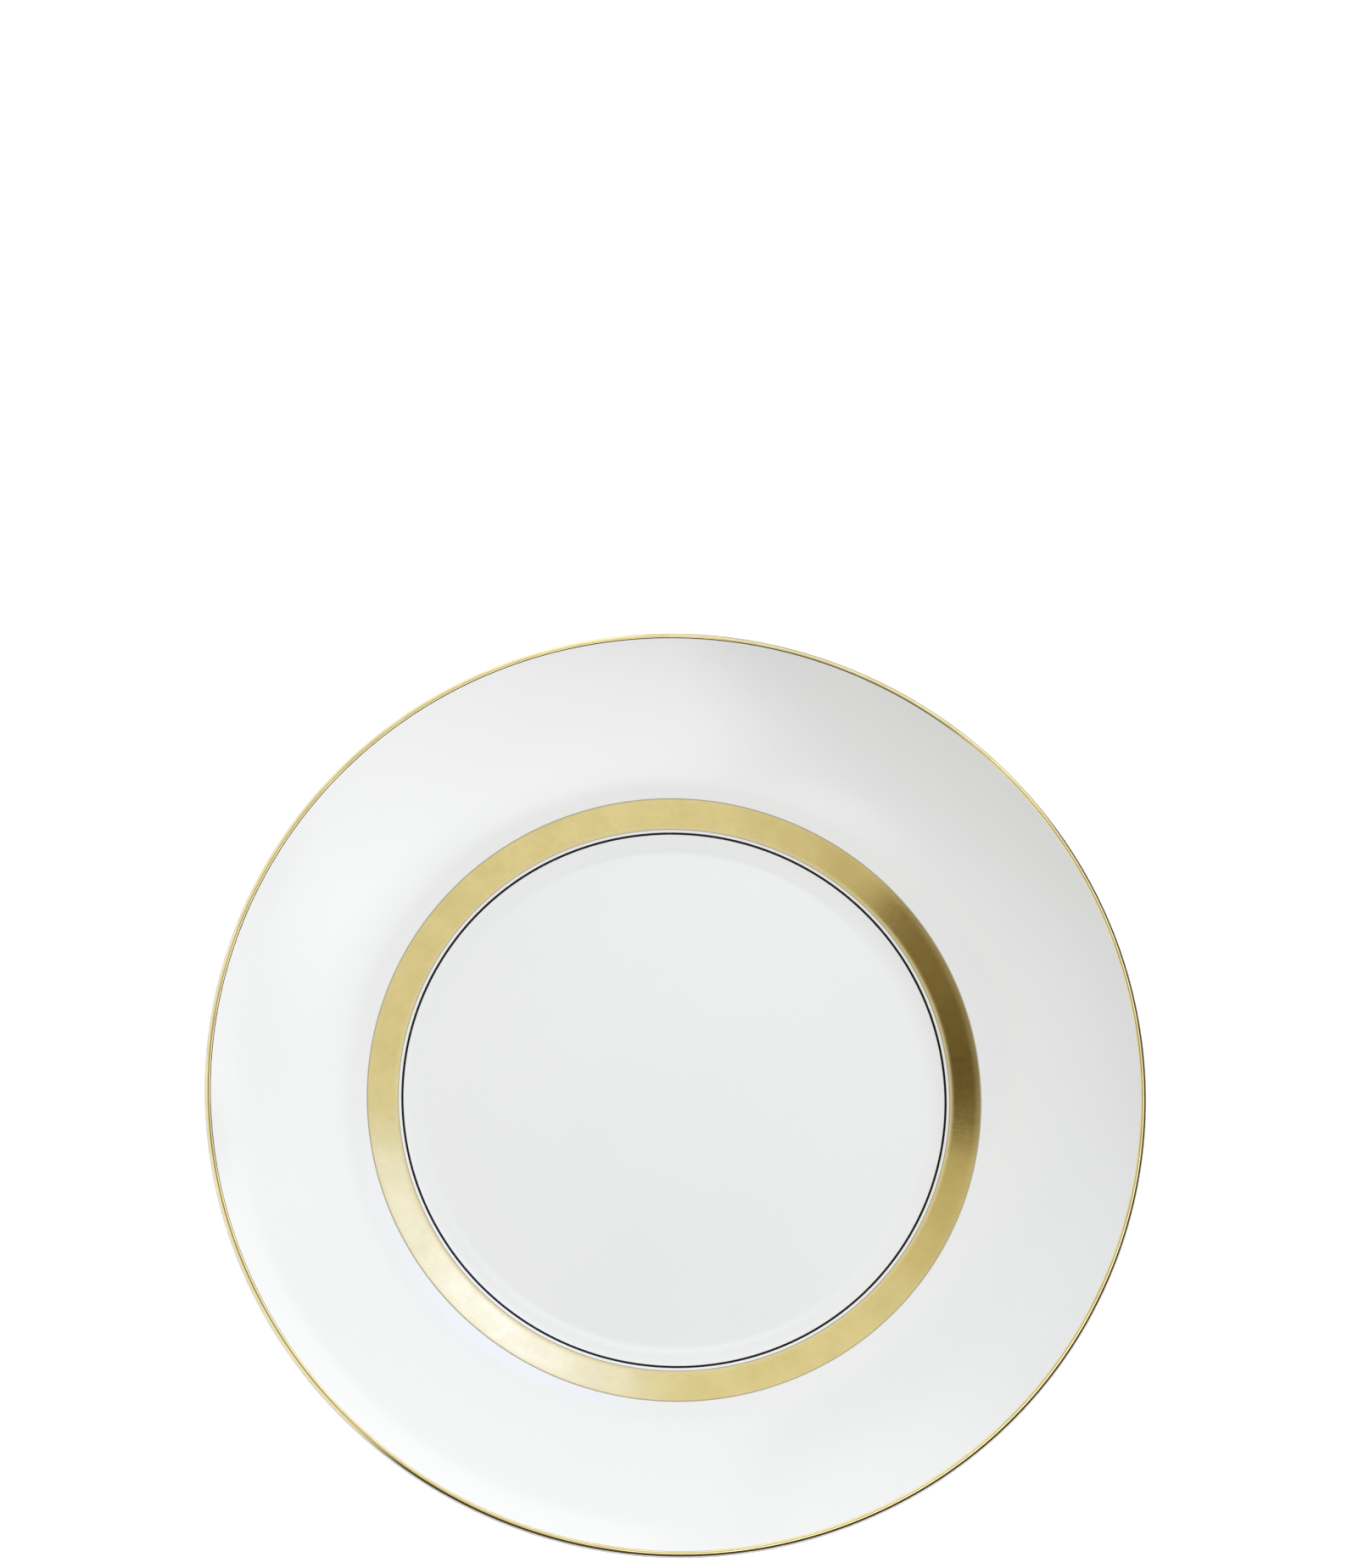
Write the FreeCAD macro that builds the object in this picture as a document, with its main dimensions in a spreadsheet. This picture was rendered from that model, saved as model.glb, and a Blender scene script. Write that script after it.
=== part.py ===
"""China dinner plate: a turned porcelain body, its glaze coats and the decoration fired onto them.

Every piece is a solid of revolution about +Z. The frame's origin is at the centre of the foot ring's
bearing face, which rests on Z = 0. Lengths are in millimetres and angles in degrees.
"""
import FreeCAD, Part
import os
import Sketcher

DIMENSIONS = (
    # the face of the plate, as glazed
    ("rim_radius", 135.0),
    ("lip_radius", 1.25),
    ("well_height", 7.0),
    ("well_edge", 72.0),
    ("knee_edge", 78.1),
    ("cone_edge", 89.6),
    ("cone_slope", 9.5),
    ("rim_slope", 28.0),
    # the outside of the plate
    ("toe_slope", 12.0),
    ("foot_outer", 81.2),
    ("foot_inner", 76.8),
    ("foot_round", 0.9),
    ("root_fillet", 1.6),
    ("recess_height", 3.2),
    # the glaze
    ("glaze_depth", 0.25),
    ("glaze_stop", 1.15),
    # the gold and the enamel, which stand proud of the glaze
    ("band_inner", 79.6),
    ("band_outer", 88.8),
    ("band_depth", 0.16),
    ("line_inner", 78.22),
    ("line_outer", 78.88),
    ("line_depth", 0.08),
    ("rim_gold_depth", 0.15),
    ("rim_gold_turn", 45.0),
    # the mark under the plate
    ("mark_outer", 11.0),
    ("mark_inner", 8.6),
    ("mark_width", 0.5),
    ("mark_depth", 0.08),
)

# The glazed outline as formulas of the dimensions. It runs from the well's centre over the lip to the
# foot ring, and each stretch is tangent to the next.
KNEE_RADIUS = "(dims.knee_edge - dims.well_edge) / sin(dims.cone_slope)"
KNEE_HEIGHT = f"dims.well_height + {KNEE_RADIUS} * (1 - cos(dims.cone_slope))"
CONE_HEIGHT = f"{KNEE_HEIGHT} + (dims.cone_edge - dims.knee_edge) * tan(dims.cone_slope)"
LIP_RADIUS = "dims.lip_radius"
LIP_CENTRE = "dims.rim_radius - dims.lip_radius"
LIP_SPREAD = "dims.lip_radius * sin(dims.rim_slope)"
LIP_DROP = "dims.lip_radius * cos(dims.rim_slope)"
WALL_RADIUS = (
    f"({LIP_CENTRE} - {LIP_SPREAD} - dims.cone_edge)"
    " / (sin(dims.rim_slope) - sin(dims.cone_slope))"
)
WALL_HEIGHT = f"{CONE_HEIGHT} + {WALL_RADIUS} * (cos(dims.cone_slope) - cos(dims.rim_slope))"
LIP_HEIGHT = f"{WALL_HEIGHT} - {LIP_DROP}"
TOE_EDGE = "dims.foot_outer + dims.root_fillet * (1 - sin(dims.toe_slope))"
OUTSIDE_RADIUS = (
    f"({LIP_CENTRE} + {LIP_SPREAD} - ({TOE_EDGE}))"
    " / (sin(dims.rim_slope) - sin(dims.toe_slope))"
)
TOE_HEIGHT = (
    f"{LIP_HEIGHT} - {LIP_DROP}"
    f" - {OUTSIDE_RADIUS} * (cos(dims.toe_slope) - cos(dims.rim_slope))"
)
ROOT_HEIGHT = f"{TOE_HEIGHT} - dims.root_fillet * cos(dims.toe_slope)"

LEFT, RIGHT = 1, -1

# The gold over the lip is drawn in this many equal spans, because one long narrow arc meshes badly.
LIP_SPANS = 4


class Station:
    """A point of the glazed outline, and the way its surface faces, in degrees from +Z outwards."""

    def __init__(self, radius, height, facing):
        self.radius, self.height, self.facing = radius, height, facing

    def raised(self, depth):
        """The corner that lies this far out of the glaze, or inside it where depth is negative."""
        radius = f"{self.radius} + ({depth}) * sin({self.facing})"
        height = f"{self.height} + ({depth}) * cos({self.facing})"
        return radius, height


WELL_EDGE = Station("dims.well_edge", "dims.well_height", "0")
KNEE_EDGE = Station("dims.knee_edge", KNEE_HEIGHT, "-dims.cone_slope")
CONE_EDGE = Station("dims.cone_edge", CONE_HEIGHT, "-dims.cone_slope")
LIP_START = Station(f"{LIP_CENTRE} - {LIP_SPREAD}", WALL_HEIGHT, "-dims.rim_slope")
LIP_END = Station(f"{LIP_CENTRE} + {LIP_SPREAD}", f"{LIP_HEIGHT} - {LIP_DROP}", "180 - dims.rim_slope")
TOE = Station(TOE_EDGE, TOE_HEIGHT, "180 - dims.toe_slope")
ROOT = Station("dims.foot_outer", ROOT_HEIGHT, "90")
RECESS_ROOT = Station("dims.foot_inner", "dims.recess_height - dims.root_fillet", "-90")
RECESS_EDGE = Station("dims.foot_inner - dims.root_fillet", "dims.recess_height", "180")


class Outline:
    """A closed outline in the XZ plane: its corners, joined by straight lines and arcs."""

    def __init__(self, start):
        self.corners = [start]
        self.stretches = []

    def line(self, corner):
        """Goes straight to the corner."""
        self.corners.append(corner)
        self.stretches.append(None)
        return self

    def arc(self, corner, radius, side):
        """Goes to the corner on an arc whose centre is on the LEFT or on the RIGHT."""
        self.corners.append(corner)
        self.stretches.append((radius, side))
        return self

    def close(self):
        """Goes straight back to the first corner."""
        self.stretches.append(None)
        return self

    def backwards(self):
        """The same line, gone the other way."""
        line = Outline(self.corners[-1])
        for corner, stretch in zip(self.corners[-2::-1], self.stretches[::-1]):
            if stretch is None:
                line.line(corner)
            else:
                line.arc(corner, stretch[0], -stretch[1])
        return line

    def then(self, further):
        """Goes straight to the start of a further line and along it."""
        self.line(further.corners[0])
        self.corners += further.corners[1:]
        self.stretches += further.stretches
        return self


def make_sheet(doc):
    """The spreadsheet of driving dimensions, each value under its own alias."""
    sheet = doc.addObject("Spreadsheet::Sheet", "dims")
    for row, (alias, value) in enumerate(DIMENSIONS, start=1):
        sheet.set(f"A{row}", alias)
        sheet.set(f"B{row}", str(value))
        sheet.setAlias(f"B{row}", alias)
    doc.recompute()
    return sheet


def value_of(sheet, expression):
    """What an expression comes to with the sheet's present values."""
    return float(sheet.evalExpression(expression))


def arc_between(start, end, radius, side):
    """The short arc from one point to the other, with its centre on the side asked for."""
    chord = end - start
    half = chord.Length / 2
    normal = FreeCAD.Vector(-chord.y, chord.x, 0).normalize() * side
    middle = (start + end) / 2
    rise = radius - (radius * radius - half * half) ** 0.5
    return Part.Arc(start, middle - normal * rise, end)


def ends_of(sketch, index, start):
    """The point numbers of a stretch's first and last point, whichever way its curve runs."""
    first_is_start = sketch.getPoint(index, 1).isEqual(start, 1e-6)
    return (1, 2) if first_is_start else (2, 1)


def pin_corner(sketch, name, index, point, corner):
    """Holds a corner at its formulas, or on an axis of the sketch where a formula is zero."""
    axes = (("DistanceX", -2), ("DistanceY", -1))
    for (kind, axis), expression, letter in zip(axes, corner, "rz"):
        if expression == "0":
            sketch.addConstraint(Sketcher.Constraint("PointOnObject", index, point, axis))
            continue
        where = sketch.getPoint(index, point)
        present = where.x if kind == "DistanceX" else where.y
        constraint = Sketcher.Constraint(kind, -1, 1, index, point, present)
        number = sketch.addConstraint(constraint)
        sketch.renameConstraint(number, f"{name}_{letter}")
        sketch.setExpression(f"Constraints.{name}_{letter}", expression)


def draw_outline(sheet, sketch, outline, label):
    """Draws an outline, joins its stretches and ties every corner and arc to the sheet."""
    points = [
        FreeCAD.Vector(value_of(sheet, radius), value_of(sheet, height), 0)
        for radius, height in outline.corners
    ]
    first = sketch.GeometryCount
    count = len(outline.stretches)
    for step, stretch in enumerate(outline.stretches):
        start, end = points[step], points[(step + 1) % len(points)]
        if stretch is None:
            sketch.addGeometry(Part.LineSegment(start, end), False)
            continue
        radius, side = stretch
        sketch.addGeometry(arc_between(start, end, value_of(sheet, radius), side), False)
    ends = [ends_of(sketch, first + step, points[step]) for step in range(count)]
    for step in range(count):
        following = (step + 1) % count
        join = (first + step, ends[step][1], first + following, ends[following][0])
        sketch.addConstraint(Sketcher.Constraint("Coincident", *join))
    for step, stretch in enumerate(outline.stretches):
        pin_corner(sketch, f"{label}_p{step}", first + step, ends[step][0], outline.corners[step])
        if stretch is None:
            continue
        constraint = Sketcher.Constraint("Radius", first + step, value_of(sheet, stretch[0]))
        number = sketch.addConstraint(constraint)
        sketch.renameConstraint(number, f"{label}_a{step}")
        sketch.setExpression(f"Constraints.{label}_a{step}", stretch[0])


def turned_body(doc, sheet, name, outlines):
    """A body made by turning its outlines once round the plate's axis."""
    body = doc.addObject("PartDesign::Body", name)
    body.Label = name
    body.AllowCompound = len(outlines) > 1
    sketch = body.newObject("Sketcher::SketchObject", f"{name}_section")
    plane = next(feature for feature in body.Origin.OriginFeatures if feature.Role == "XZ_Plane")
    sketch.AttachmentSupport = [(plane, "")]
    sketch.MapMode = "FlatFace"
    doc.recompute()
    for number, outline in enumerate(outlines):
        draw_outline(sheet, sketch, outline, f"loop{number}")
    turn = body.newObject("PartDesign::Revolution", f"{name}_turn")
    turn.Profile = sketch
    turn.ReferenceAxis = (sketch, ["V_Axis"])
    body.Tip = turn
    body.Placement = FreeCAD.Placement()
    doc.recompute()
    return body


def follow_face(outline, depth):
    """Goes on from the well over the lip to the foot ring's root, this far out of the glaze."""
    outline.line(WELL_EDGE.raised(depth))
    outline.arc(KNEE_EDGE.raised(depth), f"{KNEE_RADIUS} - ({depth})", LEFT)
    outline.line(CONE_EDGE.raised(depth))
    outline.arc(LIP_START.raised(depth), f"{WALL_RADIUS} - ({depth})", LEFT)
    outline.arc((f"dims.rim_radius + ({depth})", LIP_HEIGHT), f"{LIP_RADIUS} + ({depth})", RIGHT)
    outline.arc(LIP_END.raised(depth), f"{LIP_RADIUS} + ({depth})", RIGHT)
    outline.arc(TOE.raised(depth), f"{OUTSIDE_RADIUS} + ({depth})", RIGHT)
    outline.arc(ROOT.raised(depth), f"dims.root_fillet - ({depth})", LEFT)
    return outline


def porcelain_body(doc, sheet):
    """The fired body: the bowl of the plate with its foot ring, one glaze depth inside the glaze."""
    inset = "-dims.glaze_depth"
    outer_side = "dims.foot_outer - dims.glaze_depth"
    inner_side = "dims.foot_inner + dims.glaze_depth"
    outline = Outline(("0", "dims.well_height - dims.glaze_depth"))
    follow_face(outline, inset)
    outline.line((outer_side, "dims.foot_round"))
    outline.arc((f"{outer_side} - dims.foot_round", "0"), "dims.foot_round", RIGHT)
    outline.line((f"{inner_side} + dims.foot_round", "0"))
    outline.arc((inner_side, "dims.foot_round"), "dims.foot_round", RIGHT)
    outline.line(RECESS_ROOT.raised(inset))
    outline.arc(RECESS_EDGE.raised(inset), "dims.root_fillet + dims.glaze_depth", LEFT)
    outline.line(("0", "dims.recess_height + dims.glaze_depth"))
    outline.close()
    return turned_body(doc, sheet, "porcelain_body", [outline])


def glaze_coat(doc, sheet):
    """The clear coat over the face, the lip and the outside, down to its stop on the foot ring."""
    outside = follow_face(Outline(("0", "dims.well_height")), "0")
    outside.line(("dims.foot_outer", "dims.glaze_stop"))
    inside = follow_face(Outline(("0", "dims.well_height - dims.glaze_depth")), "-dims.glaze_depth")
    inside.line(("dims.foot_outer - dims.glaze_depth", "dims.glaze_stop"))
    outline = outside.then(inside.backwards()).close()
    return turned_body(doc, sheet, "glaze_coat", [outline])


def recess_path(depth):
    """The glazed line inside the foot ring, from its stop on the ring to the plate's axis."""
    outline = Outline((f"dims.foot_inner - ({depth})", "dims.glaze_stop"))
    outline.line(RECESS_ROOT.raised(depth))
    outline.arc(RECESS_EDGE.raised(depth), f"dims.root_fillet - ({depth})", LEFT)
    outline.line(("0", f"dims.recess_height - ({depth})"))
    return outline


def foot_recess_glaze(doc, sheet):
    """The clear coat inside the foot ring, which the bare bearing face cuts off from the other."""
    inside = recess_path("-dims.glaze_depth")
    outline = recess_path("0").then(inside.backwards()).close()
    return turned_body(doc, sheet, "foot_recess_glaze", [outline])


def cone_corner(radius, depth):
    """A corner over the cone round the well, at this radius on the glaze and this far out of it."""
    height = f"{KNEE_HEIGHT} + ({radius} - dims.knee_edge) * tan(dims.cone_slope)"
    return Station(radius, height, "-dims.cone_slope").raised(depth)


def cone_ring(inner, outer, depth):
    """The outline of a ring that lies on the cone, with both of its upper edges rounded off."""
    step = f"{depth} * cos(dims.cone_slope)"
    outline = Outline(cone_corner(inner, "0"))
    outline.arc(cone_corner(f"({inner} + {step})", depth), depth, RIGHT)
    outline.line(cone_corner(f"({outer} - {step})", depth))
    outline.arc(cone_corner(outer, "0"), depth, RIGHT)
    return outline.close()


def gold_band(doc, sheet):
    """The broad raised band of gold round the well."""
    ring = cone_ring("dims.band_inner", "dims.band_outer", "dims.band_depth")
    return turned_body(doc, sheet, "gold_band", [ring])


def black_line(doc, sheet):
    """The fine line of dark enamel just inside the gold band."""
    ring = cone_ring("dims.line_inner", "dims.line_outer", "dims.line_depth")
    return turned_body(doc, sheet, "black_line", [ring])


def lip_corner(span, depth):
    """A corner over the lip at the end of a span of the gold line, this far out of the glaze."""
    turn = f"({span} / {LIP_SPANS} * (dims.rim_gold_turn + dims.rim_slope) - dims.rim_slope)"
    reach = f"({LIP_RADIUS} + ({depth}))"
    return f"{LIP_CENTRE} + {reach} * sin({turn})", f"{LIP_HEIGHT} + {reach} * cos({turn})"


def lip_line(depth):
    """The line over the lip from the gold's inner edge to its outer one, this far out of the glaze."""
    line = Outline(lip_corner(0, depth))
    for span in range(1, LIP_SPANS + 1):
        line.arc(lip_corner(span, depth), f"{LIP_RADIUS} + ({depth})", RIGHT)
    return line


def gold_rim_line(doc, sheet):
    """The gold line over the top of the lip."""
    outline = lip_line("dims.rim_gold_depth").then(lip_line("0").backwards()).close()
    return turned_body(doc, sheet, "gold_rim_line", [outline])


def mark_ring(outer):
    """The outline of one ring of the mark, which hangs under the glaze of the recess."""
    inner = f"{outer} - dims.mark_width"
    under = "dims.recess_height - dims.mark_depth"
    outline = Outline((inner, "dims.recess_height"))
    outline.line((inner, under))
    outline.line((outer, under))
    outline.line((outer, "dims.recess_height"))
    return outline.close()


def backstamp(doc, sheet):
    """The plain mark under the plate: two rings, one inside the other."""
    rings = [mark_ring("dims.mark_outer"), mark_ring("dims.mark_inner")]
    return turned_body(doc, sheet, "backstamp", rings)


def check(doc, bodies):
    """Stops if anything in the document failed or a sub-part isn't a sound solid."""
    for item in doc.Objects:
        failed = {"Invalid", "Error"} & set(item.State)
        if failed:
            raise RuntimeError(f"{item.Label}: {failed}")
    for body in bodies:
        if body.Shape.isNull() or not body.Shape.isValid() or not body.Shape.Solids:
            raise RuntimeError(f"{body.Label} isn't a sound solid")


def main():
    doc = FreeCAD.newDocument("dinner_plate")
    sheet = make_sheet(doc)
    makers = (
        porcelain_body, glaze_coat, foot_recess_glaze, gold_band, black_line, gold_rim_line, backstamp
    )
    bodies = [make(doc, sheet) for make in makers]
    doc.recompute()
    check(doc, bodies)
    os.makedirs("parts", exist_ok=True)
    for body in bodies:
        body.Shape.exportStep(f"parts/{body.Label}.step")
        box = body.Shape.BoundBox
        print(f"{body.Label}: {body.Shape.Volume:.1f} mm3, Z {box.ZMin:.3f} to {box.ZMax:.3f}")


main()
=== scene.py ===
import math

import bmesh
import bpy
from mathutils import Matrix, Vector


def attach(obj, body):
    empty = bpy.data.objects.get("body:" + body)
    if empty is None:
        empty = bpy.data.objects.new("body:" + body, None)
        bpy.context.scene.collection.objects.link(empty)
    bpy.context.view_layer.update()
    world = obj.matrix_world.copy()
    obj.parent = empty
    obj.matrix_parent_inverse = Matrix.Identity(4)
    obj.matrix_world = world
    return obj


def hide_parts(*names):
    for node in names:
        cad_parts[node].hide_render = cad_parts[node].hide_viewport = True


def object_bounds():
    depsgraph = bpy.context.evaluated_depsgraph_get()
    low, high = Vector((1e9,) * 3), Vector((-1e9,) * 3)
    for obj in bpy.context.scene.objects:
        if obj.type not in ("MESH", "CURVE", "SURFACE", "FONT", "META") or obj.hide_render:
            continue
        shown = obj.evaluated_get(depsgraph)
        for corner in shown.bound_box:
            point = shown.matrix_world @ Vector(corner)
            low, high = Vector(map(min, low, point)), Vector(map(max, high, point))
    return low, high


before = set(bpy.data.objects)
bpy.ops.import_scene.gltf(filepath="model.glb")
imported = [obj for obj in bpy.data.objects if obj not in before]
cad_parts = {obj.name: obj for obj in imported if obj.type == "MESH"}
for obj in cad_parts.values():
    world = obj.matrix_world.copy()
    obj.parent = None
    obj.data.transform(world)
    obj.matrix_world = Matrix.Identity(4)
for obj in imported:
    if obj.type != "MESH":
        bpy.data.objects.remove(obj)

cad_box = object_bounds()

MM = 0.001

# The plate's size in millimetres, as its design has it. The rim's radius comes from the frame.
RIM_RADIUS = cad_box[1].x / MM
LIP_RADIUS = 1.25
WELL_HEIGHT = 7.0
WELL_EDGE = 72.0
KNEE_EDGE = 78.1
CONE_EDGE = 89.6
CONE_SLOPE = math.radians(9.5)
RIM_SLOPE = math.radians(28.0)
TOE_SLOPE = math.radians(12.0)
FOOT_OUTER = 81.2
FOOT_INNER = 76.8
FOOT_ROUND = 0.9
ROOT_FILLET = 1.6
RECESS_HEIGHT = 3.2
GLAZE_DEPTH = 0.25
GLAZE_STOP = 1.15
BAND_INNER = 79.6
BAND_OUTER = 88.8
LINE_INNER = 78.22
LINE_OUTER = 78.88
RIM_GOLD_INNER_TURN = math.radians(-28.0)
RIM_GOLD_OUTER_TURN = math.radians(45.0)

# How far the gold, the enamel and the mark stand out of the glaze, and how far they sink into it.
BAND_DEPTH = 0.05
LINE_DEPTH = 0.04
RIM_GOLD_DEPTH = 0.14
RIM_GOLD_LEAST_DEPTH = 0.01
RIM_GOLD_TAPER = 0.38
RIM_GOLD_FILM = 0.33
MARK_DEPTH = 0.06
SUNK = 0.02

# The mark's two rings.
MARK_OUTER = 11.0
MARK_INNER = 8.6
MARK_WIDTH = 0.5

# How finely the turned pieces are made.
TURN_STEPS = 720
WELL_STEPS = 24
KNEE_STEPS = 16
CONE_STEPS = 12
WALL_STEPS = 48
LIP_STEPS = 36
ROOT_STEPS = 12
RECESS_STEPS = 20
FOOT_STEPS = 8
EDGE_STEPS = 10
BAND_STEPS = 16
BASE_STEPS = 4
RIM_GOLD_STEPS = 60
SAME_POINT = 1e-5

GLAZE_IOR = 1.6
# The width of the gold band's edge lines, and their colour: painted shade and dark reflection for the gold's
# raised edges.
BAND_SHADED_EDGE = 0.3
BAND_EDGE_SHADE_TONE = (0.37, 0.34, 0.24)

# The floor is a large square in metres, just under the foot ring, with a glow that bleaches it.
FLOOR_SIDE = 4.0
FLOOR_DROP = 0.0002
FLOOR_GLOW = 0.45

# The camera: how far it is, how it leans off the plate's axis, what it is aimed at, and its lens.
CAMERA_DISTANCE = 1.659
CAMERA_TILT = math.radians(12.16)
CAMERA_AZIMUTH = math.radians(-104.5)
CAMERA_AIM = (0.0006, 0.0956, 0.0)
CAMERA_ROLL = math.radians(11.56)
CAMERA_LENS = 131.12
CAMERA_SENSOR = 36.0
CAMERA_REACH = 20.0

# The middles of the circles that the band and the rim mirror, in the plan that Sky uses.
BAND_MIRROR = (0.053, 0.20)
RIM_MIRROR = (0.033, 0.133)


# --- the glazed outline -------------------------------------------------------------------------

class Arc:
    """A round stretch of the outline, from one facing angle to another about a centre."""

    def __init__(self, centre, radius, first, last, hollow):
        self.centre, self.radius = centre, radius
        self.first, self.last, self.hollow = first, last, hollow

    def point(self, facing, depth=0.0):
        """Where the surface faces this way, in radians from +Z outwards, this far out of the glaze."""
        sign = -1.0 if self.hollow else 1.0
        reach = self.radius * sign + depth
        return (
            self.centre[0] + reach * math.sin(facing),
            self.centre[1] + reach * math.cos(facing),
        )

    def points(self, count, depth=0.0, first=None, last=None):
        """Points along the arc, its ends included."""
        first = self.first if first is None else first
        last = self.last if last is None else last
        steps = [first + (last - first) * step / count for step in range(count + 1)]
        return [self.point(facing, depth) for facing in steps]


def hollow_arc(start, radius, first, last):
    """A hollow arc that starts at a point."""
    centre = (start[0] + radius * math.sin(first), start[1] + radius * math.cos(first))
    return Arc(centre, radius, first, last, True)


def round_arc(start, radius, first, last):
    """A convex arc that starts at a point."""
    centre = (start[0] - radius * math.sin(first), start[1] - radius * math.cos(first))
    return Arc(centre, radius, first, last, False)


def make_arcs():
    """The five round stretches: knee, wall, lip, outside and the fillet over the foot ring."""
    knee_radius = (KNEE_EDGE - WELL_EDGE) / math.sin(CONE_SLOPE)
    knee = hollow_arc((WELL_EDGE, WELL_HEIGHT), knee_radius, 0.0, -CONE_SLOPE)
    knee_end = knee.point(-CONE_SLOPE)
    cone_end = (CONE_EDGE, knee_end[1] + (CONE_EDGE - KNEE_EDGE) * math.tan(CONE_SLOPE))
    lip_start = RIM_RADIUS - LIP_RADIUS * (1.0 + math.sin(RIM_SLOPE))
    rise = math.sin(RIM_SLOPE) - math.sin(CONE_SLOPE)
    wall = hollow_arc(cone_end, (lip_start - CONE_EDGE) / rise, -CONE_SLOPE, -RIM_SLOPE)
    lip = round_arc(wall.point(-RIM_SLOPE), LIP_RADIUS, -RIM_SLOPE, math.pi - RIM_SLOPE)
    lip_end = lip.point(math.pi - RIM_SLOPE)
    toe_edge = FOOT_OUTER + ROOT_FILLET * (1.0 - math.sin(TOE_SLOPE))
    rise = math.sin(RIM_SLOPE) - math.sin(TOE_SLOPE)
    outside_radius = (lip_end[0] - toe_edge) / rise
    outside = round_arc(lip_end, outside_radius, math.pi - RIM_SLOPE, math.pi - TOE_SLOPE)
    root = hollow_arc(outside.point(math.pi - TOE_SLOPE), ROOT_FILLET, math.pi - TOE_SLOPE, math.pi / 2)
    return knee, wall, lip, outside, root


KNEE, WALL, LIP, OUTSIDE, ROOT = make_arcs()


def cone_point(radius, depth=0.0):
    """A point on the cone round the well, this far out of the glaze."""
    foot = KNEE.point(-CONE_SLOPE)
    height = foot[1] + (radius - foot[0]) * math.tan(CONE_SLOPE)
    return radius - depth * math.sin(CONE_SLOPE), height + depth * math.cos(CONE_SLOPE)


# --- turned meshes ------------------------------------------------------------------------------

def turn(name, outline):
    """Turns a closed outline of (radius, height) in millimetres into a mesh about +Z."""
    mesh = bmesh.new()
    rings = []
    for radius, height in outline:
        if radius < SAME_POINT:
            rings.append([mesh.verts.new((0.0, 0.0, height * MM))])
            continue
        ring = []
        for step in range(TURN_STEPS):
            angle = 2.0 * math.pi * step / TURN_STEPS
            place = (radius * math.cos(angle), radius * math.sin(angle), height)
            ring.append(mesh.verts.new([part * MM for part in place]))
        rings.append(ring)
    closed = len(rings[0]) > 1 or len(rings[-1]) > 1
    pairs = list(zip(rings, rings[1:]))
    if closed:
        pairs.append((rings[-1], rings[0]))
    for one, other in pairs:
        join_rings(mesh, one, other)
    bmesh.ops.recalc_face_normals(mesh, faces=mesh.faces)
    data = bpy.data.meshes.new(name)
    mesh.to_mesh(data)
    mesh.free()
    data.polygons.foreach_set("use_smooth", [True] * len(data.polygons))
    piece = bpy.data.objects.new(name, data)
    bpy.context.scene.collection.objects.link(piece)
    return piece


def join_rings(mesh, one, other):
    """Faces between two neighbouring rings, either of which may be a single point on the axis."""
    if len(one) == 1 and len(other) == 1:
        return
    for step in range(TURN_STEPS):
        after = (step + 1) % TURN_STEPS
        if len(one) == 1:
            mesh.faces.new((one[0], other[step], other[after]))
        elif len(other) == 1:
            mesh.faces.new((one[step], one[after], other[0]))
        else:
            mesh.faces.new((one[step], one[after], other[after], other[step]))


def spaced(first, last, count):
    """Points on a straight stretch, its ends included."""
    return [
        (first[0] + (last[0] - first[0]) * step / count, first[1] + (last[1] - first[1]) * step / count)
        for step in range(count + 1)
    ]


def quarter(centre, radius, start, count):
    """Points on a quarter circle that turns from this angle, in radians from +X, towards a greater one."""
    angles = [start + math.pi / 2 * step / count for step in range(count + 1)]
    return [(centre[0] + radius * math.cos(angle), centre[1] + radius * math.sin(angle)) for angle in angles]


def without_repeats(points):
    """The points with each repeated neighbour left out."""
    kept = [points[0]]
    for point in points[1:]:
        if math.dist(point, kept[-1]) > SAME_POINT:
            kept.append(point)
    if math.dist(kept[0], kept[-1]) < SAME_POINT:
        kept.pop()
    return kept


def face_line(depth):
    """The line from the well's centre over the lip to the foot ring's root."""
    well = spaced((0.0, WELL_HEIGHT + depth), (WELL_EDGE, WELL_HEIGHT + depth), WELL_STEPS)
    line = well + KNEE.points(KNEE_STEPS, depth)
    line += spaced(cone_point(KNEE_EDGE, depth), cone_point(CONE_EDGE, depth), CONE_STEPS)
    line += WALL.points(WALL_STEPS, depth) + LIP.points(LIP_STEPS, depth)
    line += OUTSIDE.points(WALL_STEPS, depth) + ROOT.points(ROOT_STEPS, depth)
    return without_repeats(line)


def recess_line(depth):
    """The line inside the foot ring, from its side to the plate's axis."""
    corner = (FOOT_INNER - ROOT_FILLET, RECESS_HEIGHT - ROOT_FILLET)
    fillet = quarter(corner, ROOT_FILLET - depth, 0.0, EDGE_STEPS)
    flat = spaced((corner[0], RECESS_HEIGHT - depth), (0.0, RECESS_HEIGHT - depth), RECESS_STEPS)
    return without_repeats([(FOOT_INNER - depth, GLAZE_STOP)] + fillet + flat)


def make_glaze():
    outer = face_line(0.0) + [(FOOT_OUTER, GLAZE_STOP)]
    inner = face_line(-GLAZE_DEPTH) + [(FOOT_OUTER - GLAZE_DEPTH, GLAZE_STOP)]
    return turn("glazed_coat", outer + inner[::-1])


def make_recess_glaze():
    return turn("foot_recess_coat", recess_line(0.0) + recess_line(-GLAZE_DEPTH)[::-1])


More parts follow.
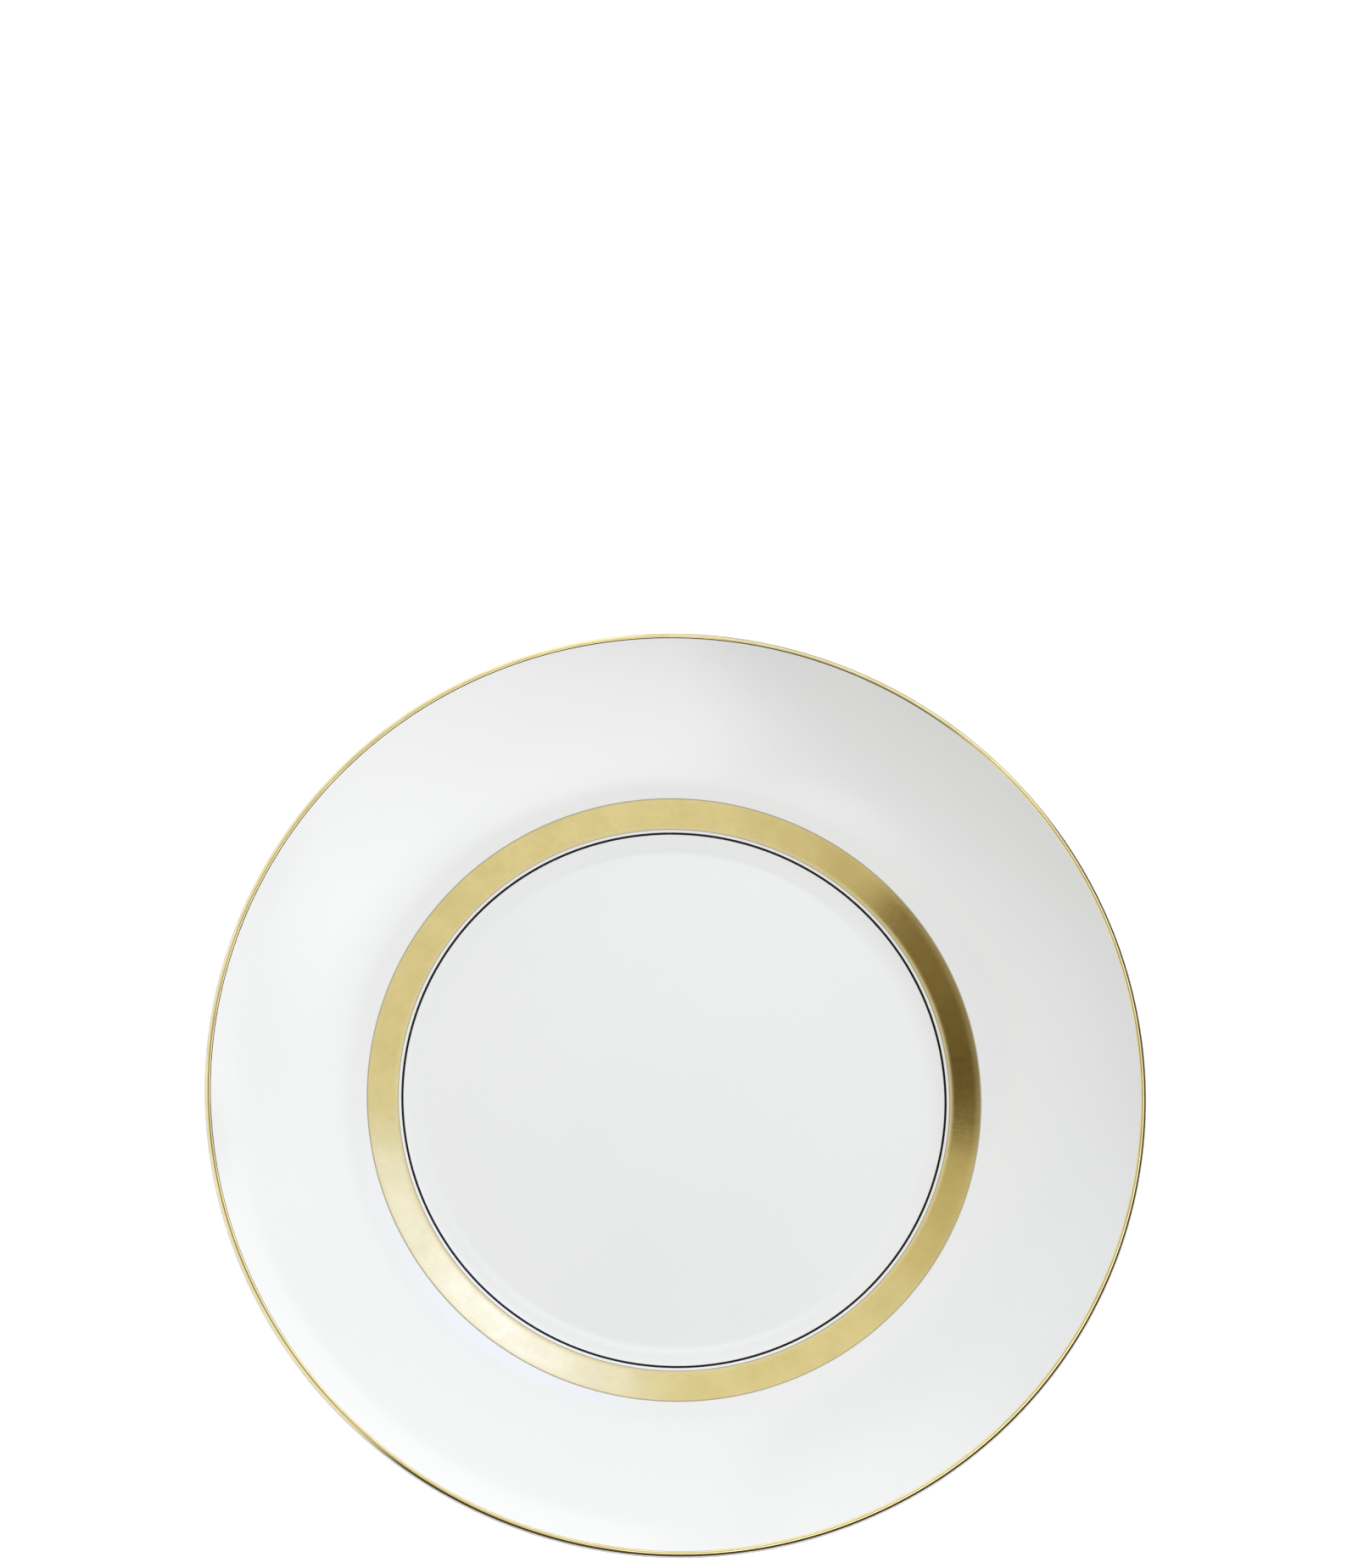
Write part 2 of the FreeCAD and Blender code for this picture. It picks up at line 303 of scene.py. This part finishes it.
def make_body():
    outer_round = (FOOT_OUTER - GLAZE_DEPTH - FOOT_ROUND, FOOT_ROUND)
    inner_round = (FOOT_INNER + GLAZE_DEPTH + FOOT_ROUND, FOOT_ROUND)
    line = face_line(-GLAZE_DEPTH)
    line += quarter(outer_round, FOOT_ROUND, -math.pi / 2, FOOT_STEPS)[::-1]
    line += quarter(inner_round, FOOT_ROUND, -math.pi, FOOT_STEPS)[::-1]
    line += recess_line(-GLAZE_DEPTH)[1:]
    return turn("porcelain_foot_and_body", without_repeats(line))


def cone_ring(inner, outer, depth):
    """A thin flat ring on the cone, its two upper edges rounded off."""
    start = quarter((inner + depth, 0.0), depth, math.pi / 2, EDGE_STEPS)[::-1]
    end = quarter((outer - depth, 0.0), depth, 0.0, EDGE_STEPS)[::-1]
    line = [cone_point(*point) for point in start]
    line += spaced(cone_point(inner + depth, depth), cone_point(outer - depth, depth), BAND_STEPS)
    line += [cone_point(*point) for point in end]
    return without_repeats(line + spaced(cone_point(outer), cone_point(inner), BASE_STEPS))


def lip_ring():
    """The gold over the lip. It thins evenly over a taper at each side and ends outside in a film."""
    first, last = RIM_GOLD_INNER_TURN, RIM_GOLD_OUTER_TURN
    top = []
    for step in range(RIM_GOLD_STEPS + 1):
        facing = first + (last - first) * step / RIM_GOLD_STEPS
        inner = (facing - first) * LIP_RADIUS / RIM_GOLD_TAPER
        outer = ((last - facing) * LIP_RADIUS - RIM_GOLD_FILM) / RIM_GOLD_TAPER
        depth = RIM_GOLD_DEPTH * min(inner, outer, 1.0)
        top.append(LIP.point(facing, max(depth, RIM_GOLD_LEAST_DEPTH)))
    return without_repeats(top + LIP.points(RIM_GOLD_STEPS // 3, -SUNK, last, first))


def mark_ring(outer):
    """A thin square-edged ring on the recess, which faces down."""
    inner = outer - MARK_WIDTH
    top, bottom = RECESS_HEIGHT + SUNK, RECESS_HEIGHT - MARK_DEPTH
    return [(inner, top), (inner, bottom), (outer, bottom), (outer, top)]


# --- materials ----------------------------------------------------------------------------------

class Nodes:
    """A short way to write a node tree."""

    def __init__(self, tree):
        self.tree = tree
        tree.nodes.clear()

    def feed(self, socket, value):
        """Joins a socket to an output, or sets it to a number, a vector or a colour."""
        if isinstance(value, bpy.types.NodeSocket):
            self.tree.links.new(value, socket)
        elif isinstance(value, tuple) and socket.type == "RGBA":
            socket.default_value = (*value, 1.0)
        else:
            socket.default_value = value

    def math(self, operation, *values):
        node = self.tree.nodes.new("ShaderNodeMath")
        node.operation = operation
        for socket, value in zip(node.inputs, values):
            self.feed(socket, value)
        return node.outputs[0]

    def position(self):
        """Where a point is on the plate, in metres."""
        return self.tree.nodes.new("ShaderNodeTexCoord").outputs["Object"]

    def radius(self):
        """How far a point is from the plate's axis, in millimetres."""
        split = self.tree.nodes.new("ShaderNodeSeparateXYZ")
        self.feed(split.inputs[0], self.position())
        squares = [self.math("MULTIPLY", part, part) for part in split.outputs[:2]]
        return self.math("MULTIPLY", self.math("SQRT", self.math("ADD", *squares)), 1.0 / MM)

    def noise(self, where, scale, detail):
        node = self.tree.nodes.new("ShaderNodeTexNoise")
        self.feed(node.inputs["Vector"], where)
        self.feed(node.inputs["Scale"], scale)
        self.feed(node.inputs["Detail"], detail)
        return node.outputs[0]

    def ramp(self, value, low, high):
        """0 up to low, 1 from high on, and smooth in between."""
        node = self.tree.nodes.new("ShaderNodeMapRange")
        node.interpolation_type = "SMOOTHSTEP"
        for name, source in (("Value", value), ("From Min", low), ("From Max", high)):
            self.feed(node.inputs[name], source)
        return node.outputs[0]

    def between(self, share, low, high):
        return self.math("ADD", self.math("MULTIPLY", share, high - low), low)

    def mix(self, share, one, other):
        node = self.tree.nodes.new("ShaderNodeMix")
        node.data_type = "RGBA"
        self.feed(node.inputs["Factor"], share)
        for index, colour in ((6, one), (7, other)):
            self.feed(node.inputs[index], colour)
        return node.outputs[2]

    def bump(self, height, distance):
        """Relief this many metres deep."""
        node = self.tree.nodes.new("ShaderNodeBump")
        self.feed(node.inputs["Height"], height)
        self.feed(node.inputs["Distance"], distance)
        return node.outputs[0]


def new_material(name):
    material = bpy.data.materials.new(name)
    material.use_nodes = True
    return material, Nodes(material.node_tree)


def principled(nodes, **values):
    """A Principled shader, its inputs named with _ for each space, joined to the output."""
    shader = nodes.tree.nodes.new("ShaderNodeBsdfPrincipled")
    for name, value in values.items():
        nodes.feed(shader.inputs[name.replace("_", " ")], value)
    out = nodes.tree.nodes.new("ShaderNodeOutputMaterial")
    nodes.tree.links.new(shader.outputs[0], out.inputs[0])


def glaze_material():
    """Clear glaze over white porcelain: glossy, with a faint waviness and a few pin-point specks."""
    material, nodes = new_material("white_glaze")
    where = nodes.position()
    cloud = nodes.noise(where, scale=28.0, detail=3.0)
    speck = nodes.ramp(nodes.noise(where, scale=1300.0, detail=1.0), 0.735, 0.80)
    tone = nodes.mix(cloud, (0.738, 0.753, 0.766), (0.755, 0.766, 0.779))
    tone = nodes.mix(nodes.math("MULTIPLY", speck, 0.25), tone, (0.52, 0.49, 0.44))
    waves = nodes.noise(where, scale=42.0, detail=1.0)
    orange_peel = nodes.noise(where, scale=420.0, detail=2.0)
    relief = nodes.math("ADD", waves, nodes.math("MULTIPLY", orange_peel, 0.03))
    principled(
        nodes,
        Base_Color=tone,
        Roughness=nodes.between(cloud, 0.05, 0.09),
        IOR=GLAZE_IOR,
        Normal=nodes.bump(relief, 0.00001),
    )
    return material


def gold_tone(nodes, where, dark, pale):
    """The cloudy, sponged-on tone of fired gold."""
    cloud = nodes.noise(where, scale=95.0, detail=4.0)
    grain = nodes.noise(where, scale=2600.0, detail=2.0)
    share = nodes.math("ADD", cloud, nodes.math("MULTIPLY", nodes.math("SUBTRACT", grain, 0.5), 0.35))
    return nodes.mix(nodes.ramp(share, 0.30, 0.70), dark, pale), grain, cloud


def band_gold_material():
    """Satin gold: soft-sheened, faintly cloudy and thinner towards its two edges, with a painted shade line,
    dark brown, along each edge.
    """
    material, nodes = new_material("satin_gold")
    where = nodes.position()
    tone, grain, _ = gold_tone(nodes, where, (0.78, 0.65, 0.325), (0.85, 0.71, 0.38))
    patches = nodes.noise(where, scale=480.0, detail=3.0)
    relief = nodes.math("ADD", grain, nodes.math("MULTIPLY", patches, 0.4))
    drift = nodes.math("SUBTRACT", nodes.noise(where, scale=260.0, detail=2.0), 0.5)
    radius = nodes.math("ADD", nodes.radius(), nodes.math("MULTIPLY", drift, 0.12))
    # A dark brown line along each edge of the band: painted shade and dark reflection, not the gold's own
    # colour.
    edge_end, edge_start = 1.15 * BAND_SHADED_EDGE, 0.85 * BAND_SHADED_EDGE
    inner = nodes.ramp(radius, BAND_INNER + edge_end, BAND_INNER + edge_start)
    outer = nodes.ramp(radius, BAND_OUTER - edge_end, BAND_OUTER - edge_start)
    edge = nodes.math("MAXIMUM", inner, outer)
    tone = nodes.mix(edge, tone, BAND_EDGE_SHADE_TONE)
    inner_thin = nodes.math("POWER", nodes.ramp(radius, BAND_INNER + 2.0, BAND_INNER + BAND_SHADED_EDGE), 2.0)
    outer_thin = nodes.math("MULTIPLY", nodes.ramp(radius, BAND_OUTER - 2.5, BAND_OUTER), 0.2)
    thin = nodes.math("MAXIMUM", nodes.math("MULTIPLY", inner_thin, 0.85), outer_thin)
    tone = nodes.mix(thin, tone, nodes.mix(edge, (0.64, 0.54, 0.28), BAND_EDGE_SHADE_TONE))
    bare = nodes.math("MAXIMUM", thin, nodes.math("MULTIPLY", edge, 0.9))
    principled(
        nodes,
        Base_Color=tone,
        Metallic=nodes.math("SUBTRACT", 1.0, bare),
        Roughness=nodes.between(patches, 0.07, 0.14),
        Normal=nodes.bump(relief, 0.0000045),
    )
    return material


def lip_gold_material():
    """Bright burnished gold, drawn round the lip by hand."""
    material, nodes = new_material("bright_gold")
    where = nodes.position()
    tone, grain, cloud = gold_tone(nodes, where, (0.77, 0.665, 0.355), (0.87, 0.76, 0.43))
    principled(
        nodes,
        Base_Color=tone,
        Metallic=1.0,
        Roughness=nodes.between(cloud, 0.05, 0.10),
        Normal=nodes.bump(grain, 0.0000015),
    )
    return material


def enamel_material():
    """Black overglaze enamel, a little thinner in places."""
    material, nodes = new_material("black_enamel")
    where = nodes.position()
    cloud = nodes.noise(where, scale=700.0, detail=3.0)
    principled(
        nodes,
        Base_Color=nodes.mix(cloud, (0.003, 0.0026, 0.002), (0.010, 0.009, 0.008)),
        Roughness=nodes.between(cloud, 0.12, 0.24),
        Specular_IOR_Level=0.1,
        Normal=nodes.bump(cloud, 0.000004),
    )
    return material


def bisque_material():
    """Bare fired porcelain, matt and finely speckled."""
    material, nodes = new_material("bare_porcelain")
    where = nodes.position()
    cloud = nodes.noise(where, scale=60.0, detail=4.0)
    grain = nodes.noise(where, scale=3200.0, detail=3.0)
    tone = nodes.mix(cloud, (0.62, 0.60, 0.55), (0.74, 0.72, 0.68))
    tone = nodes.mix(nodes.ramp(grain, 0.60, 0.74), tone, (0.45, 0.42, 0.36))
    principled(
        nodes,
        Base_Color=tone,
        Roughness=nodes.between(grain, 0.62, 0.82),
        Normal=nodes.bump(grain, 0.00003),
    )
    return material


def mark_material():
    """Grey printing colour under the foot, broken up a little by the print."""
    material, nodes = new_material("underside_mark")
    where = nodes.position()
    grain = nodes.noise(where, scale=1800.0, detail=3.0)
    tone = nodes.mix(nodes.ramp(grain, 0.44, 0.66), (0.085, 0.080, 0.070), (0.24, 0.23, 0.21))
    principled(
        nodes,
        Base_Color=tone,
        Roughness=nodes.between(grain, 0.18, 0.36),
        Normal=nodes.bump(grain, 0.000006),
    )
    return material


def floor_material():
    """A pale matt table."""
    material, nodes = new_material("floor")
    where = nodes.position()
    cloud = nodes.noise(where, scale=3.0, detail=3.0)
    grain = nodes.noise(where, scale=900.0, detail=2.0)
    tone = nodes.mix(cloud, (0.93, 0.93, 0.93), (0.96, 0.96, 0.96))
    principled(
        nodes,
        Base_Color=tone,
        Roughness=nodes.between(grain, 0.85, 0.95),
        Emission_Color=(1.0, 1.0, 1.0),
        Emission_Strength=FLOOR_GLOW,
    )
    return material


# --- the plate ----------------------------------------------------------------------------------

def fit(piece, material, slot, *nodes):
    """Gives a piece its material and its place in the frame."""
    piece.data.materials.append(material)
    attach(piece, "root")
    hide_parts(*nodes)


def make_plate():
    glaze = glaze_material()
    fit(make_glaze(), glaze, "white_glaze", "glaze_coat")
    fit(make_recess_glaze(), glaze, "white_glaze", "foot_recess_glaze")
    fit(make_body(), bisque_material(), "bisque_porcelain", "porcelain_body")
    band = turn("gold_band_ring", cone_ring(BAND_INNER, BAND_OUTER, BAND_DEPTH))
    fit(band, band_gold_material(), "satin_gold", "gold_band")
    line = turn("black_line_ring", cone_ring(LINE_INNER, LINE_OUTER, LINE_DEPTH))
    fit(line, enamel_material(), "black_enamel", "black_line")
    lip = turn("gold_lip_line", lip_ring())
    fit(lip, lip_gold_material(), "bright_gold", "gold_rim_line")
    mark = turn("underside_mark_outer", mark_ring(MARK_OUTER))
    fit(mark, mark_material(), "grey_mark", "backstamp")
    inner_mark = turn("underside_mark_inner", mark_ring(MARK_INNER))
    inner_mark.data.materials.append(mark.data.materials[0])
    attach(inner_mark, "root")


# --- studio -------------------------------------------------------------------------------------

def make_floor():
    data = bpy.data.meshes.new("floor")
    mesh = bmesh.new()
    corners = [
        mesh.verts.new((x * FLOOR_SIDE, y * FLOOR_SIDE, -FLOOR_DROP))
        for x, y in ((-1, -1), (1, -1), (1, 1), (-1, 1))
    ]
    mesh.faces.new(corners)
    mesh.to_mesh(data)
    mesh.free()
    floor = bpy.data.objects.new("floor", data)
    bpy.context.scene.collection.objects.link(floor)
    data.materials.append(floor_material())
    floor.visible_glossy = False


class Sky:
    """The light that comes from each direction, laid on one soft-edged patch at a time.

    A direction is placed by its plan: how far it leans towards +X and +Y. Straight up is (0, 0) and the
    horizon is the circle of radius 1.
    """

    def __init__(self, nodes, colour):
        self.nodes = nodes
        self.direction = nodes.tree.nodes.new("ShaderNodeTexCoord").outputs["Generated"]
        split = nodes.tree.nodes.new("ShaderNodeSeparateXYZ")
        nodes.feed(split.inputs[0], self.direction)
        self.x, self.y, self.z = split.outputs
        rgb = nodes.tree.nodes.new("ShaderNodeRGB")
        rgb.outputs[0].default_value = (*colour, 1.0)
        self.colour = rgb.outputs[0]

    def away(self, x, y):
        """How far a direction is from this one, in plan."""
        squares = [
            self.nodes.math("POWER", self.nodes.math("SUBTRACT", part, value), 2.0)
            for part, value in ((self.x, x), (self.y, y))
        ]
        return self.nodes.math("SQRT", self.nodes.math("ADD", *squares))

    def near(self, x, y, reach, soft):
        """1 within this reach of a direction, 0 outside it."""
        return self.nodes.ramp(self.away(x, y), reach + soft, reach - soft)

    def beyond(self, x, y, reach, soft):
        """0 within this reach of a direction, 1 outside it."""
        return self.nodes.ramp(self.away(x, y), reach - soft, reach + soft)

    def ring(self, x, y, inner, outer, soft):
        """1 on a ring round a direction, between two reaches."""
        return self.nodes.math("MULTIPLY", self.near(x, y, outer, soft), self.beyond(x, y, inner, soft))

    def side(self, azimuth, edge, soft):
        """1 on the side of the room that this azimuth, in degrees, points to."""
        azimuth = math.radians(azimuth)
        across = self.nodes.math("MULTIPLY", self.x, math.cos(azimuth))
        along = self.nodes.math("MULTIPLY", self.y, math.sin(azimuth))
        return self.nodes.ramp(self.nodes.math("ADD", across, along), edge - soft, edge + soft)

    def above(self, height, soft):
        """1 for directions that rise more steeply than this, 0 below them."""
        return self.nodes.ramp(self.z, height - soft, height + soft)

    def below(self, height, soft):
        """0 for directions that rise more steeply than this, 1 below them."""
        return self.nodes.ramp(self.z, height + soft, height - soft)

    def lay(self, colour, *masks):
        mask = masks[0]
        for other in masks[1:]:
            mask = self.nodes.math("MULTIPLY", mask, other)
        self.colour = self.nodes.mix(mask, self.colour, colour)


def make_world():
    """A bright room: a large light towards +X, the gold band's own surroundings, and dark brown low down."""
    world = bpy.data.worlds.new("studio")
    world.use_nodes = True
    nodes = Nodes(world.node_tree)
    sky = Sky(nodes, (0.55, 0.57, 0.58))
    off_band = sky.beyond(*BAND_MIRROR, 0.33, 0.03)
    # the side of the room away from the light, and the circle that the gold band mirrors
    sky.lay((0.84, 0.85, 0.86), sky.side(135, 0.66, 0.09))
    circle = sky.ring(*BAND_MIRROR, 0.20, 0.33, 0.03)
    sky.lay((0.78, 0.78, 0.64), circle)
    sky.lay((0.86, 0.86, 0.71), circle, sky.side(135, 0.20, 0.12))
    # the large light, its near edge straight overhead, brighter towards -Y and along its lower edge
    right = sky.side(0, -0.01, 0.08)
    high = sky.above(0.3, 0.08)
    sky.lay((1.76, 1.75, 1.78), right, high, off_band)
    sky.lay((1.35, 1.35, 1.36), right, high, sky.side(90, 0.42, 0.15), off_band)
    sky.lay((3.2, 3.2, 3.24), right, sky.near(0.42, -0.27, 0.36, 0.16), sky.beyond(*BAND_MIRROR, 0.40, 0.10))
    sky.lay((2.7, 2.7, 2.7), sky.near(0.16, -0.36, 0.22, 0.17), sky.beyond(*BAND_MIRROR, 0.32, 0.03))
    sky.lay((2.3, 2.3, 2.3), sky.side(30, 0.5, 0.08), high, sky.beyond(*RIM_MIRROR, 0.70, 0.012))
    sky.lay((1.0, 1.0, 1.0), sky.near(0.81, 0.30, 0.07, 0.04))
    # light from beyond the plate, and a smaller one overhead towards -X -Y
    sky.lay((1.7, 1.7, 1.7), sky.near(-0.25, 0.88, 0.22, 0.14))
    sky.lay((1.6, 1.6, 1.6), sky.near(-0.13, -0.11, 0.10, 0.07), sky.beyond(*BAND_MIRROR, 0.325, 0.02))
    # the ceiling over the plate, which the flat well mirrors
    sky.lay((0.66, 0.68, 0.69), sky.near(0.06, 0.19, 0.09, 0.05))
    sky.lay((1.7, 1.72, 1.7), sky.near(0.06, 0.265, 0.04, 0.05))
    sky.lay((0.02, 0.02, 0.02), sky.near(0.045, 0.150, 0.035, 0.03))
    # on the circle that the gold band mirrors: dim and brown towards -X, and a bright bluish stretch
    sky.lay((0.60, 0.56, 0.36), sky.near(-0.21, 0.14, 0.22, 0.09))
    sky.lay((0.17, 0.13, 0.055), sky.near(-0.208, 0.123, 0.125, 0.010))
    sky.lay((0.08, 0.055, 0.02), sky.near(-0.235, 0.175, 0.025, 0.030))
    sky.lay((0.24, 0.19, 0.085), sky.near(-0.185, 0.060, 0.035, 0.030))
    stretch = sky.ring(*BAND_MIRROR, 0.24, 0.305, 0.015)
    sky.lay((1.08, 1.24, 1.80), stretch, sky.near(0.235, 0.390, 0.165, 0.035))
    sky.lay((1.32, 1.54, 2.65), stretch, sky.near(0.220, 0.410, 0.07, 0.06))
    # the far wall towards -X, and a warm dark corner towards -X -Y
    sky.lay((0.35, 0.35, 0.34), sky.side(200, 0.53, 0.07), sky.beyond(*RIM_MIRROR, 0.665, 0.02))
    sky.lay((0.30, 0.26, 0.02), sky.near(-0.54, -0.46, 0.28, 0.22))
    # low down the room is bright, but dark and brown towards +X -Y, which draws the lip gold's edges
    sky.lay((1.05, 1.04, 1.02), sky.beyond(*RIM_MIRROR, 0.86, 0.02))
    low = nodes.math("MAXIMUM", sky.beyond(0.0, 0.15, 0.88, 0.02), sky.below(0.0, 0.02))
    sky.lay((0.09, 0.07, 0.035), low, sky.side(-45, 0.0, 0.10))
    background = nodes.tree.nodes.new("ShaderNodeBackground")
    nodes.feed(background.inputs["Color"], sky.colour)
    out = nodes.tree.nodes.new("ShaderNodeOutputWorld")
    nodes.tree.links.new(background.outputs[0], out.inputs[0])
    bpy.context.scene.world = world


def make_camera():
    """The camera looks down at the plate from a little off its axis, turned as the photograph is."""
    lean = math.sin(CAMERA_TILT)
    place = Vector((lean * math.cos(CAMERA_AZIMUTH), lean * math.sin(CAMERA_AZIMUTH), math.cos(CAMERA_TILT)))
    place *= CAMERA_DISTANCE
    data = bpy.data.cameras.new("camera")
    data.lens = CAMERA_LENS
    data.sensor_width = CAMERA_SENSOR
    data.clip_end = CAMERA_REACH
    camera = bpy.data.objects.new("camera", data)
    facing = (Vector(CAMERA_AIM) - place).to_track_quat("-Z", "Y").to_matrix()
    turned = facing @ Matrix.Rotation(CAMERA_ROLL, 3, "Z")
    camera.matrix_world = Matrix.Translation(place) @ turned.to_4x4()
    bpy.context.scene.collection.objects.link(camera)
    bpy.context.scene.camera = camera


make_plate()
make_floor()
make_world()
make_camera()
bpy.context.scene.view_settings.view_transform = "Standard"
